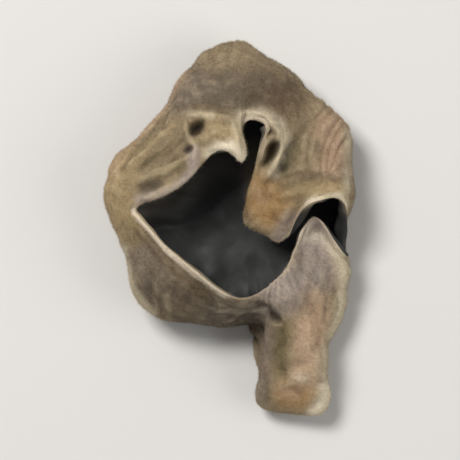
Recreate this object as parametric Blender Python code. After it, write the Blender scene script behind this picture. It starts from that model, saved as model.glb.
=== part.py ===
"""A dried wood ear mushroom: one thin sheet of flesh that grew as a disc and dried into a closed-in cup.

The felted side of the sheet faces out and down, and its smooth side lines the cup. The mouth opens towards
+Z. Seen from above, the stub that held the mushroom to its wood is on the +Y side of the mouth, and a lobe
like a tongue points to -Y. The cup rests on its flattened bottom. Lengths are in millimetres until MM makes
them metres.
"""

import bmesh
import bpy
import numpy as np
from mathutils.bvhtree import BVHTree

MM = 0.001

# Thickness of the dried sheet, and the share of its radius over which it thins towards the free margin.
FLESH = 0.80
FLESH_AT_MARGIN = 0.45
MARGIN_TAPER = 0.15

# The height below which the bottom of the cup is pressed flat.
FOOT_DEPTH = 0.4
FOOT_EASE = 0.4

# Round the sheet, clockwise from the stub as seen from above: where its outline is widest, where its free
# margin ends, how steeply it still climbs there in degrees, and how far it rises straight up from its outline
# before it leans in.
SPOKES = (
    ((-1.2, 17.1, 4.8), (1.7, 4.8, 10.9), -25, 4.4),  # tip of the stub
    ((0.5, 17.9, 4.8), (2.3, 6.6, 10.5), -12, 4.4),
    ((2.0, 17.9, 4.9), (1.4, 8.4, 10.0), -15, 4.2),  # cleft beside the stub
    ((3.2, 17.1, 5.0), (1.9, 9.95, 9.6), -18, 4.0),
    ((4.5, 16.1, 5.0), (3.4, 10.1, 10.4), -5, 3.8),
    ((6.0, 14.9, 5.1), (4.6, 8.8, 10.9), 0, 3.8),  # curled lip
    ((7.2, 14.0, 5.2), (3.4, 7.0, 10.7), -10, 3.8),
    ((8.2, 13.2, 5.2), (3.1, 5.2, 9.9), -30, 3.8),
    ((9.0, 12.5, 5.2), (2.3, 3.4, 8.4), -50, 3.8),  # flap that rolls into the cup
    ((9.8, 11.7, 5.2), (1.6, 1.2, 6.9), -60, 3.8),
    ((10.4, 11.1, 5.2), (1.3, -1.1, 6.1), -55, 3.8),
    ((10.8, 10.6, 5.2), (3.7, -1.1, 6.2), -50, 3.8),
    ((11.4, 10.1, 5.2), (5.2, -3.2, 6.4), -30, 3.8),
    ((11.9, 9.4, 5.3), (6.1, -1.1, 7.3), -25, 3.8),
    ((12.3, 8.6, 5.3), (6.9, 0.8, 8.6), -15, 3.8),
    ((12.4, 7.5, 5.4), (7.9, 2.0, 9.4), -10, 3.8),
    ((12.4, 6.2, 5.4), (9.5, 2.4, 9.7), 5, 3.6),
    ((12.5, 4.8, 5.5), (11.0, 2.5, 9.4), 25, 3.4),
    ((12.5, 3.4, 5.6), (12.0, 2.0, 8.9), 60, 2.9),
    ((12.4, 2.2, 5.4), (12.3, 0.9, 7.8), 75, 2.4),  # spur at the end of the hood
    ((12.1, 0.6, 4.5), (12.0, -0.4, 5.8), 80, 1.6),
    ((11.9, -1.2, 3.8), (11.8, -1.8, 4.9), 85, 1.2),  # low notch in the wall
    ((11.9, -3.0, 3.7), (12.0, -3.2, 5.2), 80, 1.4),
    ((12.2, -4.5, 3.7), (12.0, -4.3, 6.2), 70, 2.0),
    ((12.3, -5.8, 3.7), (11.2, -3.3, 7.0), 55, 2.5),
    ((12.0, -7.2, 3.6), (9.9, -1.6, 6.9), 35, 2.8),
    ((11.8, -8.5, 3.6), (8.7, 1.5, 7.0), 30, 3.0),  # apex of the strip, under the hood's margin
    ((11.5, -9.8, 3.5), (7.6, -1.6, 7.5), 25, 3.0),
    ((11.0, -11.3, 3.4), (6.9, -3.2, 9.5), 22, 2.8),
    ((10.1, -13.2, 3.3), (6.5, -4.0, 10.0), 20, 2.5),
    ((9.8, -15.3, 3.2), (6.2, -4.5, 10.2), 20, 2.3),
    ((10.8, -17.4, 3.1), (5.9, -4.9, 10.3), 20, 2.2),
    ((9.6, -19.9, 3.0), (5.6, -5.3, 10.4), 20, 2.1),  # tip of the tongue
    ((6.4, -19.7, 3.0), (5.2, -5.7, 10.4), 20, 2.1),
    ((3.2, -19.0, 3.1), (4.9, -6.0, 10.4), 20, 2.2),
    ((2.8, -17.0, 3.2), (4.6, -6.3, 10.3), 22, 2.3),
    ((3.3, -15.0, 3.3), (4.2, -6.6, 10.2), 24, 2.4),
    ((3.7, -12.8, 3.5), (3.8, -7.0, 10.1), 28, 2.6),
    ((4.3, -10.2, 3.8), (3.1, -7.5, 9.9), 38, 2.8),  # crease between the tongue and the front wall
    ((2.3, -10.2, 4.1), (2.2, -8.0, 9.8), 45, 3.3),
    ((0.0, -10.5, 4.3), (0.9, -8.1, 9.8), 52, 3.6),
    ((-2.7, -10.5, 4.5), (-0.8, -7.3, 10.1), 52, 3.8),
    ((-5.6, -10.3, 4.6), (-2.6, -5.8, 10.6), 50, 3.8),
    ((-8.1, -9.0, 4.7), (-4.4, -4.3, 10.8), 50, 3.8),
    ((-9.5, -6.5, 4.8), (-6.1, -2.8, 10.7), 50, 3.7),
    ((-10.3, -3.8, 4.9), (-7.7, -1.2, 10.2), 52, 3.4),
    ((-11.0, -1.2, 4.9), (-8.9, 0.1, 9.5), 55, 3.0),
    ((-12.0, 1.4, 5.0), (-9.6, 1.1, 9.0), 30, 2.8),  # left corner of the mouth
    ((-12.5, 3.8, 5.0), (-8.3, 1.7, 9.3), 0, 3.0),
    ((-11.6, 6.0, 5.0), (-7.0, 2.0, 9.8), -10, 3.2),
    ((-9.5, 7.7, 4.9), (-5.6, 2.6, 10.1), -12, 3.4),
    ((-7.7, 9.2, 4.8), (-4.4, 3.3, 10.4), -12, 3.7),
    ((-6.1, 11.0, 4.7), (-3.2, 4.3, 10.7), -12, 3.9),
    ((-5.4, 12.9, 4.7), (-2.2, 5.7, 11.0), -12, 4.1),
    ((-4.4, 14.6, 4.7), (-0.9, 6.9, 11.3), -10, 4.3),
    ((-2.9, 16.0, 4.7), (0.7, 6.7, 11.3), -10, 4.4),
)

# Folds of the sheet: the points they run along as seen from above, their width, and how far they move it.
FOLDS = (
    (((-3.9, 6.9), (-5.8, 6.1), (-8.6, 5.1)), 0.50, (0, 0, -0.6)),  # pleats from the stub to the left corner
    (((-4.1, 5.9), (-6.0, 5.1), (-8.6, 4.1)), 0.50, (0, 0, 0.4)),
    (((-4.0, 4.8), (-5.6, 4.1), (-8.2, 3.1)), 0.50, (0, 0, -0.6)),
    (((4.3, 9.9), (5.4, 9.0), (5.8, 7.6), (5.4, 6.2), (4.6, 4.9)), 0.55, (0, 0, 0.6)),  # the lip's crest
    (((4.9, 7.9), (4.7, 7.0), (4.0, 5.7)), 0.40, (0, 0, -0.6)),  # groove inside it
    (((7.0, 8.6), (6.6, 6.8), (5.8, 5.2)), 0.55, (0, 0, -0.4)),  # dip behind it
    (((-2.8, 9.1), (-2.8, 9.1)), 0.85, (0, 0, -1.6)),  # pit beside the stub
    (((-2.4, 8.3), (-0.6, 8.6), (0.8, 7.6)), 1.20, (0, 0, 0.9)),  # the stub
    (((-4.4, 10.9), (-1.0, 11.4), (2.6, 11.5)), 0.90, (0, 0, -0.6)),  # dip between the stub and the hood
    (((4.4, 3.5), (7.5, 4.6), (10.6, 5.0)), 0.80, (0, 0, 0.6)),  # fold above the flap
    (((5.4, 2.0), (8.0, 3.3), (10.6, 3.6)), 0.70, (0, 0, -0.4)),
    (((5.2, -10.8), (5.6, -13.0), (5.4, -15.4)), 0.70, (0, 0, -0.4)),  # trough down the tongue
    (((2.8, -8.5), (4.2, -9.0), (5.2, -9.8)), 0.50, (0, 0, -0.5)),  # crease at its root
)

# Puckers of drying, which fade towards the margin: the length of each wave, the way it runs, and how far it
# moves the sheet.
PUCKERS = (
    (10.0, (0.9, 0.4, 0.2), (0.05, -0.10, 0.30)),
    (7.0, (-0.3, 0.9, 0.4), (0.10, 0.05, 0.25)),
    (5.0, (0.6, -0.6, 0.6), (-0.08, 0.08, 0.18)),
)

# How flat the bottom of the cup stays before it climbs to the outline, and how far back from the free margin
# the sheet already runs at its slope, as a share of the distance from the outline as seen from above.
BELLY = 2.4
MARGIN_PULL = 0.40

# Waves of the outline that the bottom of the cup takes up.
WAVES = 60

# The share of the way from the middle of the bottom to the margin at which the outline lies.
OUTLINE_AT = 0.42

# Resolution of the solid, the steps in which its inner side is moved in, and how much each of them eases it.
COLUMNS = 112
RINGS_BELOW = 7
RINGS_ABOVE = 15
LINING_STEPS = 10
LINING_EASE = 0.3
LINING_EASINGS = 40


def around(rows, turn):
    """The rows read at fractional places round the closed ring, along a smooth curve that they draw."""
    rows = np.asarray(rows, float).reshape(len(SPOKES), -1)
    whole = np.floor(turn).astype(int)
    t = (turn - whole)[:, None]
    before, here, there, after = (rows[(whole + k) % len(rows)] for k in (-1, 0, 1, 2))
    return (
        (1 - t) ** 3 * before
        + (3 * t**3 - 6 * t**2 + 4) * here
        + (-3 * t**3 + 3 * t**2 + 3 * t + 1) * there
        + t**3 * after
    ) / 6


def bezier(controls, t):
    """Points on the curves that start and end at the first and last controls and are pulled by the others."""
    while len(controls) > 1:
        controls = [here + (there - here) * t[:, None] for here, there in zip(controls, controls[1:])]
    return controls[0]


def distance(point, path):
    """How far the points are from a path, as seen from above."""
    nearest = np.full(len(point), np.inf)
    for start, end in zip(np.array(path), np.array(path)[1:]):
        run = end - start
        along = np.clip((point[:, :2] - start) @ run / max(run @ run, 1e-9), 0, 1)
        nearest = np.minimum(nearest, np.linalg.norm(point[:, :2] - start - along[:, None] * run, axis=1))
    return nearest


def bottom(turn, share):
    """The outline from above, its waves fading towards the middle, short ones first. share is 1 on it."""
    rows = around([row[0] for row in SPOKES], np.arange(8 * len(SPOKES)) / 8)
    spectrum = np.fft.fft(rows[:, 0] + 1j * rows[:, 1]) / len(rows)
    place = np.zeros(len(turn), complex)
    for wave in range(-WAVES, WAVES + 1):
        place += spectrum[wave] * share ** abs(wave) * np.exp(2j * np.pi * wave * turn / len(SPOKES))
    return np.stack((place.real, place.imag, 0 * share), axis=1)


def sheet(turn, reach):
    """Places on the felted side of the sheet. turn counts spokes. reach is 0 mid-bottom, 1 at the margin."""
    outline = around([row[0] for row in SPOKES], turn)
    margin = around([row[1] for row in SPOKES], turn)
    slope = np.radians(around([row[2] for row in SPOKES], turn))
    shoulder = around([row[3] for row in SPOKES], turn)
    up = np.array((0, 0, 1))
    share = np.clip(reach / OUTLINE_AT, 0, 1)
    under = bottom(turn, 1 - (1 - share) ** 2) + up * outline[:, 2:] * share[:, None] ** BELLY
    across = (margin - outline) * (1, 1, 0)
    span = np.linalg.norm(margin - outline, axis=1)[:, None]
    heading = across / np.maximum(np.linalg.norm(across, axis=1), 0.01)[:, None]
    ending = heading * np.cos(slope) + up * np.sin(slope)
    over = bezier(
        (outline, outline + up * shoulder, margin - ending * span * MARGIN_PULL, margin),
        np.clip((reach - OUTLINE_AT) / (1 - OUTLINE_AT), 0, 1),
    )
    point = np.where((reach < OUTLINE_AT)[:, None], under, over)
    for path, width, push in FOLDS:
        near = np.exp(-(distance(point, path) / width) ** 2) * np.clip((point[:, 2] - 2) / 3, 0, 1)
        point = point + near[:, None] * push
    for length, way, push in PUCKERS:
        wave = np.sin(2 * np.pi * point @ np.array(way) / length) * (1 - reach**3)
        point = point + wave[:, None] * push
    above = np.maximum(point[:, 2] - FOOT_DEPTH, 0)
    point[:, 2] = above**2 / (above + FOOT_EASE)
    return point


def flesh(reach):
    """Thickness of the sheet, which thins towards its free margin."""
    left = np.clip((1 - reach) / MARGIN_TAPER, 0, 1)
    return FLESH_AT_MARGIN + (FLESH - FLESH_AT_MARGIN) * np.sqrt(left)


def flat_disc(columns, reaches):
    """A flat disc of rings of quads with those radii, the sheet before it is folded."""
    disc = bmesh.new()
    bmesh.ops.create_circle(disc, cap_ends=True, segments=columns, radius=reaches[0])
    bmesh.ops.poke(disc, faces=disc.faces[:])
    for near, far in zip(reaches, reaches[1:]):
        rim = [edge for edge in disc.edges if edge.is_boundary]
        grown = bmesh.ops.extrude_edge_only(disc, edges=rim)["geom"]
        moved = [item for item in grown if isinstance(item, bmesh.types.BMVert)]
        bmesh.ops.scale(disc, vec=(far / near,) * 3, verts=moved)
    return disc


def crossing(skin):
    """The faces of a skin that pass through one another."""
    skin.faces.ensure_lookup_table()
    tree = BVHTree.FromBMesh(skin)
    pairs = [(skin.faces[here], skin.faces[there]) for here, there in tree.overlap(tree) if here < there]
    return [face for pair in pairs if not set(pair[0].verts) & set(pair[1].verts) for face in pair]


def smooth(skin, verts, factor):
    bmesh.ops.smooth_vert(skin, verts=verts, factor=factor, use_axis_x=True, use_axis_y=True, use_axis_z=True)


def lined(disc, thickness):
    """Places of the smooth side: the felted side moved in by the thickness, with tight folds eased."""
    lining = disc.copy()
    inside = [vert for vert in lining.verts if not vert.is_boundary]
    for _ in range(LINING_STEPS):
        lining.normal_update()
        for vert, thick in zip(lining.verts, thickness):
            vert.co += vert.normal * (thick / LINING_STEPS)
        smooth(lining, inside, LINING_EASE)
    for _ in range(LINING_EASINGS):
        tangled = {vert for face in crossing(lining) for vert in face.verts if not vert.is_boundary}
        if not tangled:
            break
        around_them = {edge.other_vert(vert) for vert in tangled for edge in vert.link_edges}
        eased = [vert for vert in tangled | around_them if not vert.is_boundary]
        smooth(lining, eased, 0.5)
    places = [vert.co.copy() for vert in lining.verts]
    lining.free()
    return places


def put_in_order(skin, number):
    """Sorts points by their number, and edges and faces by their three lowest points, the same in each run."""
    skin.verts.sort(key=lambda vert: vert[number])
    skin.verts.index_update()
    for pieces in (skin.edges, skin.faces):
        pieces.sort(key=lambda piece: np.polyval(sorted(vert.index for vert in piece.verts)[:3], len(skin.verts)))


def folded_sheet():
    """The disc folded into the cup and closed by its inner side."""
    below = np.linspace(0, OUTLINE_AT, RINGS_BELOW + 1)[1:]
    above = np.linspace(OUTLINE_AT, 1, RINGS_ABOVE + 1)[1:]
    disc = flat_disc(COLUMNS, [*below, *above])
    flat = np.array([vert.co[:] for vert in disc.verts])
    reach = np.minimum(np.hypot(flat[:, 0], flat[:, 1]), 1)
    turn = np.degrees(np.arctan2(-flat[:, 1], flat[:, 0])) / 360 * len(SPOKES) % len(SPOKES)
    for vert, place in zip(disc.verts, sheet(turn, reach)):
        vert.co = place
    lining = lined(disc, flesh(reach))
    number = disc.verts.layers.int.new("number")
    for place, vert in enumerate(disc.verts):
        vert[number] = place
    grown = bmesh.ops.extrude_face_region(disc, geom=disc.faces[:], use_keep_orig=True)["geom"]
    for vert in [item for item in grown if isinstance(item, bmesh.types.BMVert)]:
        vert.co = lining[vert[number]]
        vert[number] += len(lining)
    put_in_order(disc, number)
    bmesh.ops.scale(disc, vec=(MM,) * 3, verts=disc.verts[:])
    bmesh.ops.recalc_face_normals(disc, faces=disc.faces[:])
    return disc


def flesh_material():
    material = bpy.data.materials.new("dried_felt")
    material.use_nodes = True
    shader = material.node_tree.nodes["Principled BSDF"]
    shader.inputs["Base Color"].default_value = (0.27, 0.20, 0.13, 1)
    shader.inputs["Roughness"].default_value = 0.9
    shader.inputs["Metallic"].default_value = 0
    return material


def wood_ear():
    mesh = bpy.data.meshes.new("wood_ear")
    disc = folded_sheet()
    disc.to_mesh(mesh)
    disc.free()
    mesh.shade_smooth()
    mesh.materials.append(flesh_material())
    bpy.context.scene.collection.objects.link(bpy.data.objects.new("wood_ear", mesh))


for thing in list(bpy.data.objects):
    bpy.data.objects.remove(thing)
wood_ear()
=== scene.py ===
# %% [markdown]
# # A dried wood ear mushroom
# A wood ear grows on dead wood as one thin, rubbery disc, held by a short stub. One side is felted with
# short hair, and the other is smooth and nearly black. As it dries it shrinks, turns as hard as horn and
# curls into a cup with its dark side in. This lesson folds a flat disc into that cup, presses the wrinkles
# of drying into it and lays a nap of hair on the felted side.

import bmesh
import bpy
import numpy as np
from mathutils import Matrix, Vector, noise
from mathutils.bvhtree import BVHTree


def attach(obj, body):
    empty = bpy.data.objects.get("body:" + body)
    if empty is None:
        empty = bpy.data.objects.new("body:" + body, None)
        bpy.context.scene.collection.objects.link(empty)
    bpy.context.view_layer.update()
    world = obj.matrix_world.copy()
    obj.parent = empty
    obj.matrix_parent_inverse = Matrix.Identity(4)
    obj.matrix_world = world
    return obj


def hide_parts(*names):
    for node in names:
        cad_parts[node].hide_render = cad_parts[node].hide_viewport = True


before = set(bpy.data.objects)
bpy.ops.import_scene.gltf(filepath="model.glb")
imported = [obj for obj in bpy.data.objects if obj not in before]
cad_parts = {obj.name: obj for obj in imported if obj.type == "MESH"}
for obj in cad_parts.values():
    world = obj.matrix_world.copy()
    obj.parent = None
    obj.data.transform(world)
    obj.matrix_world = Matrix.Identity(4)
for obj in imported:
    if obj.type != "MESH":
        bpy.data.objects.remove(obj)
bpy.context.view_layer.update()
MM = 0.001

# %% [markdown]
# ## The shape of the sheet
# Nothing on a mushroom is straight or even, so its shape is read off at spokes that run from the middle of
# the sheet to its free margin. Each row has the place where the outline is widest, the place where the
# margin ends, how steeply the sheet still climbs there in degrees, and how far it rises before it leans in.
# Places are in millimetres, and the rows go clockwise from the stub as seen from above. A smooth curve
# through the rows could overshoot where they bunch up, so a B-spline is drawn near them instead, which
# never does.

# %% Spokes, folds and puckers
SPOKES = (
    ((-1.2, 17.1, 4.8), (1.7, 4.8, 10.9), -25, 4.4),  # tip of the stub
    ((0.5, 17.9, 4.8), (2.3, 6.6, 10.5), -12, 4.4),
    ((2.0, 17.9, 4.9), (1.4, 8.4, 10.0), -15, 4.2),  # cleft beside the stub
    ((3.2, 17.1, 5.0), (1.9, 9.95, 9.6), -18, 4.0),
    ((4.5, 16.1, 5.0), (3.4, 10.1, 10.4), -5, 3.8),
    ((6.0, 14.9, 5.1), (4.6, 8.8, 10.9), 0, 3.8),  # curled lip
    ((7.2, 14.0, 5.2), (3.4, 7.0, 10.7), -10, 3.8),
    ((8.2, 13.2, 5.2), (3.1, 5.2, 9.9), -30, 3.8),
    ((9.0, 12.5, 5.2), (2.3, 3.4, 8.4), -50, 3.8),  # flap that rolls into the cup
    ((9.8, 11.7, 5.2), (1.6, 1.2, 6.9), -60, 3.8),
    ((10.4, 11.1, 5.2), (1.3, -1.1, 6.1), -55, 3.8),
    ((10.8, 10.6, 5.2), (3.7, -1.1, 6.2), -50, 3.8),
    ((11.4, 10.1, 5.2), (5.2, -3.2, 6.4), -30, 3.8),
    ((11.9, 9.4, 5.3), (6.1, -1.1, 7.3), -25, 3.8),
    ((12.3, 8.6, 5.3), (6.9, 0.8, 8.6), -15, 3.8),
    ((12.4, 7.5, 5.4), (7.9, 2.0, 9.4), -10, 3.8),
    ((12.4, 6.2, 5.4), (9.5, 2.4, 9.7), 5, 3.6),
    ((12.5, 4.8, 5.5), (11.0, 2.5, 9.4), 25, 3.4),
    ((12.5, 3.4, 5.6), (12.0, 2.0, 8.9), 60, 2.9),
    ((12.4, 2.2, 5.4), (12.3, 0.9, 7.8), 75, 2.4),  # spur at the end of the hood
    ((12.1, 0.6, 4.5), (12.0, -0.4, 5.8), 80, 1.6),
    ((11.9, -1.2, 3.8), (11.8, -1.8, 4.9), 85, 1.2),  # low notch in the wall
    ((11.9, -3.0, 3.7), (12.0, -3.2, 5.2), 80, 1.4),
    ((12.2, -4.5, 3.7), (12.0, -4.3, 6.2), 70, 2.0),
    ((12.3, -5.8, 3.7), (11.2, -3.3, 7.0), 55, 2.5),
    ((12.0, -7.2, 3.6), (9.9, -1.6, 6.9), 35, 2.8),
    ((11.8, -8.5, 3.6), (8.7, 1.5, 7.0), 30, 3.0),  # apex of the strip, under the hood's margin
    ((11.5, -9.8, 3.5), (7.6, -1.6, 7.5), 25, 3.0),
    ((11.0, -11.3, 3.4), (6.9, -3.2, 9.5), 22, 2.8),
    ((10.1, -13.2, 3.3), (6.5, -4.0, 10.0), 20, 2.5),
    ((9.8, -15.3, 3.2), (6.2, -4.5, 10.2), 20, 2.3),
    ((10.8, -17.4, 3.1), (5.9, -4.9, 10.3), 20, 2.2),
    ((9.6, -19.9, 3.0), (5.6, -5.3, 10.4), 20, 2.1),  # tip of the lobe
    ((6.4, -19.7, 3.0), (5.2, -5.7, 10.4), 20, 2.1),
    ((3.2, -19.0, 3.1), (4.9, -6.0, 10.4), 20, 2.2),
    ((2.8, -17.0, 3.2), (4.6, -6.3, 10.3), 22, 2.3),
    ((3.3, -15.0, 3.3), (4.2, -6.6, 10.2), 24, 2.4),
    ((3.7, -12.8, 3.5), (3.8, -7.0, 10.1), 28, 2.6),
    ((4.3, -10.2, 3.8), (3.1, -7.5, 9.9), 38, 2.8),  # crease between the lobe and the front wall
    ((2.3, -10.2, 4.1), (2.2, -8.0, 9.8), 45, 3.3),
    ((0.0, -10.5, 4.3), (0.9, -8.1, 9.8), 52, 3.6),
    ((-2.7, -10.5, 4.5), (-0.8, -7.3, 10.1), 52, 3.8),
    ((-5.6, -10.3, 4.6), (-2.6, -5.8, 10.6), 50, 3.8),
    ((-8.1, -9.0, 4.7), (-4.4, -4.3, 10.8), 50, 3.8),
    ((-9.5, -6.5, 4.8), (-6.1, -2.8, 10.7), 50, 3.7),
    ((-10.3, -3.8, 4.9), (-7.7, -1.2, 10.2), 52, 3.4),
    ((-11.0, -1.2, 4.9), (-8.9, 0.1, 9.5), 55, 3.0),
    ((-12.0, 1.4, 5.0), (-9.6, 1.1, 9.0), 30, 2.8),  # left corner of the mouth
    ((-12.5, 3.8, 5.0), (-8.3, 1.7, 9.3), 0, 3.0),
    ((-11.6, 6.0, 5.0), (-7.0, 2.0, 9.8), -10, 3.2),
    ((-9.5, 7.7, 4.9), (-5.6, 2.6, 10.1), -12, 3.4),
    ((-7.7, 9.2, 4.8), (-4.4, 3.3, 10.4), -12, 3.7),
    ((-6.1, 11.0, 4.7), (-3.2, 4.3, 10.7), -12, 3.9),
    ((-5.4, 12.9, 4.7), (-2.2, 5.7, 11.0), -12, 4.1),
    ((-4.4, 14.6, 4.7), (-0.9, 6.9, 11.3), -10, 4.3),
    ((-2.9, 16.0, 4.7), (0.7, 6.7, 11.3), -10, 4.4),
)
# Folds: the points they run along as seen from above, their width, and how far they move the sheet.
FOLDS = (
    (((-3.9, 6.9), (-5.8, 6.1), (-8.6, 5.1)), 0.50, (0, 0, -0.6)),  # pleats from the stub to the left corner
    (((-4.1, 5.9), (-6.0, 5.1), (-8.6, 4.1)), 0.50, (0, 0, 0.4)),
    (((-4.0, 4.8), (-5.6, 4.1), (-8.2, 3.1)), 0.50, (0, 0, -0.6)),
    (((4.3, 9.9), (5.4, 9.0), (5.8, 7.6), (5.4, 6.2), (4.6, 4.9)), 0.55, (0, 0, 0.6)),  # the lip's crest
    (((4.9, 7.9), (4.7, 7.0), (4.0, 5.7)), 0.40, (0, 0, -0.6)),  # groove inside it
    (((7.0, 8.6), (6.6, 6.8), (5.8, 5.2)), 0.55, (0, 0, -0.4)),  # dip behind it
    (((-2.8, 9.1), (-2.8, 9.1)), 0.85, (0, 0, -1.6)),  # pit beside the stub
    (((-2.4, 8.3), (-0.6, 8.6), (0.8, 7.6)), 1.20, (0, 0, 0.9)),  # the stub
    (((-4.4, 10.9), (-1.0, 11.4), (2.6, 11.5)), 0.90, (0, 0, -0.6)),  # dip between the stub and the hood
    (((4.4, 3.5), (7.5, 4.6), (10.6, 5.0)), 0.80, (0, 0, 0.6)),  # fold above the flap
    (((5.4, 2.0), (8.0, 3.3), (10.6, 3.6)), 0.70, (0, 0, -0.4)),
    (((5.2, -10.8), (5.6, -13.0), (5.4, -15.4)), 0.70, (0, 0, -0.4)),  # trough down the lobe
    (((2.8, -8.5), (4.2, -9.0), (5.2, -9.8)), 0.50, (0, 0, -0.5)),  # crease at its root
)
# Puckers of drying: the length of each wave, the way it runs, and how far it moves the sheet.
PUCKERS = (
    (10.0, (0.9, 0.4, 0.2), (0.05, -0.10, 0.30)),
    (7.0, (-0.3, 0.9, 0.4), (0.10, 0.05, 0.25)),
    (5.0, (0.6, -0.6, 0.6), (-0.08, 0.08, 0.18)),
)


def around(rows, turn):
    """The rows read at fractional places round the closed ring, along a smooth curve that they draw."""
    rows = np.asarray(rows, float).reshape(len(SPOKES), -1)
    whole = np.floor(turn).astype(int)
    t = (turn - whole)[:, None]
    before, here, there, after = (rows[(whole + k) % len(rows)] for k in (-1, 0, 1, 2))
    return (
        (1 - t) ** 3 * before
        + (3 * t**3 - 6 * t**2 + 4) * here
        + (-3 * t**3 + 3 * t**2 + 3 * t + 1) * there
        + t**3 * after
    ) / 6


print(len(SPOKES), "spokes,", len(FOLDS), "folds")

# %% [markdown]
# ## From disc to cup
# Inside the outline lies the bottom of the cup. The outline is a closed curve, so it is a sum of waves that
# run round it, and here each wave fades towards the middle, the short ones first. That fills even a lobe
# with a narrow neck without a fold. Outside the outline, a Bezier curve takes each spoke straight up, over
# the shoulder and in to the margin.

# %% Where each point of the disc goes
WAVES = 60
OUTLINE_READS = 8  # places at each spoke where the outline is read for its waves
OUTLINE_AT = 0.42  # share of the way from the middle to the margin
BELLY = 2.4  # how flat the bottom stays before it climbs
MARGIN_PULL = 0.40  # how far back from the margin the sheet already runs at its slope
FOLDS_FROM = 2  # mm over the bottom, and over how many more the folds grow to their full size
FOLDS_GROW = 3
FOOT_DEPTH = 0.4  # mm that the bottom is pressed in where it rests, and how softly that begins
FOOT_EASE = 0.4


def bezier(controls, t):
    """Points on the curves that start and end at the first and last controls and are pulled by the others."""
    while len(controls) > 1:
        controls = [here + (there - here) * t[:, None] for here, there in zip(controls, controls[1:])]
    return controls[0]


def distance(point, path):
    """How far the points are from a path, as seen from above."""
    nearest = np.full(len(point), np.inf)
    for start, end in zip(np.array(path), np.array(path)[1:]):
        run = end - start
        along = np.clip((point[:, :2] - start) @ run / max(run @ run, 1e-9), 0, 1)
        nearest = np.minimum(nearest, np.linalg.norm(point[:, :2] - start - along[:, None] * run, axis=1))
    return nearest


def nearness(points, path, size):
    """How near the points are to a path as seen from above: 1 on it, and nearly 0 at twice that size."""
    return np.exp(-((distance(points, path) / size) ** 2))


def bottom(turn, share):
    """The outline from above, its waves fading towards the middle, the short ones first. share is 1 on it."""
    reads = np.arange(OUTLINE_READS * len(SPOKES)) / OUTLINE_READS
    rows = around([row[0] for row in SPOKES], reads)
    spectrum = np.fft.fft(rows[:, 0] + 1j * rows[:, 1]) / len(rows)
    place = np.zeros(len(turn), complex)
    for wave in range(-WAVES, WAVES + 1):
        place += spectrum[wave] * share ** abs(wave) * np.exp(2j * np.pi * wave * turn / len(SPOKES))
    return np.stack((place.real, place.imag, 0 * share), axis=1)


def sheet(turn, reach):
    """Places on the felted side of the sheet. turn counts spokes. reach is 0 mid-bottom, 1 at the margin."""
    outline = around([row[0] for row in SPOKES], turn)
    margin = around([row[1] for row in SPOKES], turn)
    slope = np.radians(around([row[2] for row in SPOKES], turn))
    shoulder = around([row[3] for row in SPOKES], turn)
    up = np.array((0, 0, 1))
    share = np.clip(reach / OUTLINE_AT, 0, 1)
    under = bottom(turn, 1 - (1 - share) ** 2) + up * outline[:, 2:] * share[:, None] ** BELLY
    across = (margin - outline) * (1, 1, 0)
    span = np.linalg.norm(margin - outline, axis=1)[:, None]
    heading = across / np.maximum(np.linalg.norm(across, axis=1), 0.01)[:, None]
    ending = heading * np.cos(slope) + up * np.sin(slope)
    over = bezier(
        (outline, outline + up * shoulder, margin - ending * span * MARGIN_PULL, margin),
        np.clip((reach - OUTLINE_AT) / (1 - OUTLINE_AT), 0, 1),
    )
    point = np.where((reach < OUTLINE_AT)[:, None], under, over)
    for path, width, push in FOLDS:
        near = nearness(point, path, width) * np.clip((point[:, 2] - FOLDS_FROM) / FOLDS_GROW, 0, 1)
        point = point + near[:, None] * push
    for length, way, push in PUCKERS:
        wave = np.sin(2 * np.pi * point @ np.array(way) / length) * (1 - reach**3)
        point = point + wave[:, None] * push
    above = np.maximum(point[:, 2] - FOOT_DEPTH, 0)
    point[:, 2] = above**2 / (above + FOOT_EASE)
    return point


print("middle of the bottom:", sheet(np.zeros(1), np.zeros(1)).round(2))

# %% [markdown]
# ## A sheet with two sides
# The real sheet is under a millimetre thick, and thinner at its margin. A Solidify modifier would tangle in
# the tight folds, so the felted side is moved in by small steps and eased after each one, and any faces
# that still pass through one another are eased until they don't. An extrusion of the disc then makes the
# smooth side at those places and closes the margin. It leaves points and faces in another order each time,
# so they are sorted.

# %% The closed sheet
FLESH = 0.80  # mm
FLESH_AT_MARGIN = 0.45
MARGIN_TAPER = 0.15  # share of the disc over which the flesh thins to its margin
COLUMNS = 112
RINGS_BELOW = 7  # rings of faces inside the outline, and outside it
RINGS_ABOVE = 15
LINING_STEPS = 10
LINING_EASE = 0.3
TANGLE_EASE = 0.5
TANGLE_EASINGS = 40  # at most


def points_among(made):
    """The points among what an operator made."""
    return [item for item in made["geom"] if isinstance(item, bmesh.types.BMVert)]


def flat_disc(columns, reaches):
    """A flat disc of rings of quads with those radii, the sheet before it is folded."""
    disc = bmesh.new()
    bmesh.ops.create_circle(disc, cap_ends=True, segments=columns, radius=reaches[0])
    bmesh.ops.poke(disc, faces=disc.faces[:])
    for near, far in zip(reaches, reaches[1:]):
        rim = [edge for edge in disc.edges if edge.is_boundary]
        grown = points_among(bmesh.ops.extrude_edge_only(disc, edges=rim))
        bmesh.ops.scale(disc, vec=(far / near,) * 3, verts=grown)
    return disc


def crossing(skin):
    """The faces of a skin that pass through one another."""
    skin.faces.ensure_lookup_table()
    tree = BVHTree.FromBMesh(skin)
    pairs = [(skin.faces[here], skin.faces[there]) for here, there in tree.overlap(tree) if here < there]
    return [face for pair in pairs if not set(pair[0].verts) & set(pair[1].verts) for face in pair]


def smooth(skin, verts, factor):
    """Moves the points towards the middle of their neighbours by that share."""
    bmesh.ops.smooth_vert(skin, verts=verts, factor=factor, use_axis_x=True, use_axis_y=True, use_axis_z=True)


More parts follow.
